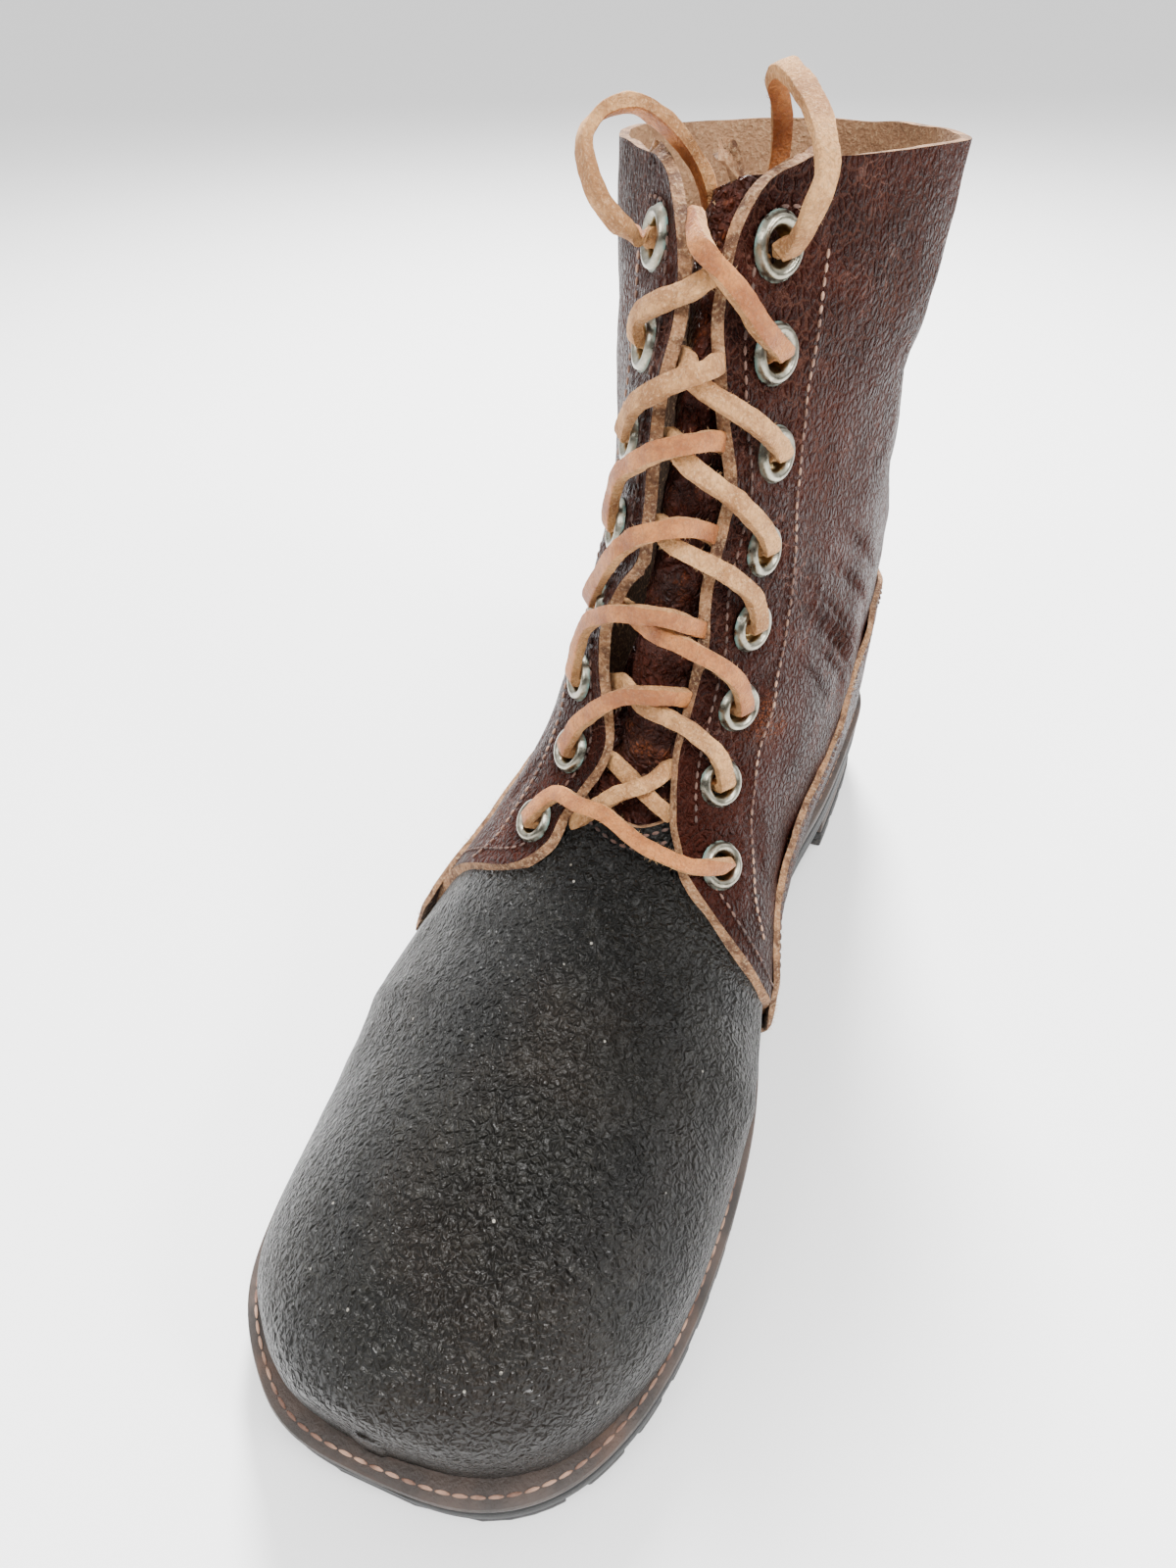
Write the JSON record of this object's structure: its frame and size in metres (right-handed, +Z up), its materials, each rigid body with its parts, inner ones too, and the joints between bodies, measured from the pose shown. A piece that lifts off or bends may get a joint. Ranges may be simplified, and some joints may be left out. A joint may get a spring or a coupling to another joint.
{
  "type": "combat boot",
  "caption": "Right-foot lace-up derby combat boot with pebbled vamp, raw-edged heel counter, rolled eyelets, rawhide lace, stitched welt and lugged sole.",
  "frame": {"origin": "middle of the boot's length and width, on the floor the sole stands on", "axes": "+Z up the shaft, -Y towards the toe, +X towards the medial side"},
  "size_m": [0.1188, 0.3058, 0.2317],
  "materials": {
    "upper": "worn red-brown and black pebbled leather, semi-gloss",
    "heel_counter": "worn red-brown leather with raw edges",
    "tongue": "brown pebbled leather, shiny on its bulges",
    "welt": "dark dressed leather, stitched",
    "insole": "bare tan leather",
    "midsole": "dark dressed leather edge",
    "sole_rubber": "matt black rubber",
    "eyelets": "nickel-coloured metal with green patina",
    "lace": "tan rawhide"
  },
  "bodies": {
    "root": {"upper": "upper", "heel_counter": "heel_counter", "tongue": "tongue", "welt": "welt", "insole": "insole", "midsole": "midsole", "outsole": "sole_rubber", "heel_block": "sole_rubber", "heel_top_piece": "sole_rubber", "eyelet_medial_1": "eyelets", "eyelet_medial_2": "eyelets", "eyelet_medial_3": "eyelets", "eyelet_medial_4": "eyelets", "eyelet_medial_5": "eyelets", "eyelet_medial_6": "eyelets", "eyelet_medial_7": "eyelets", "eyelet_medial_8": "eyelets", "eyelet_lateral_1": "eyelets", "eyelet_lateral_2": "eyelets", "eyelet_lateral_3": "eyelets", "eyelet_lateral_4": "eyelets", "eyelet_lateral_5": "eyelets", "eyelet_lateral_6": "eyelets", "eyelet_lateral_7": "eyelets", "eyelet_lateral_8": "eyelets", "lace_bar": "lace", "lace_cross_1": "lace", "lace_cross_2": "lace", "lace_cross_3": "lace", "lace_cross_4": "lace", "lace_cross_5": "lace", "lace_cross_6": "lace", "lace_cross_7": "lace", "lace_loop_lateral": "lace", "lace_loop_medial": "lace"}
  },
  "joints": []
}
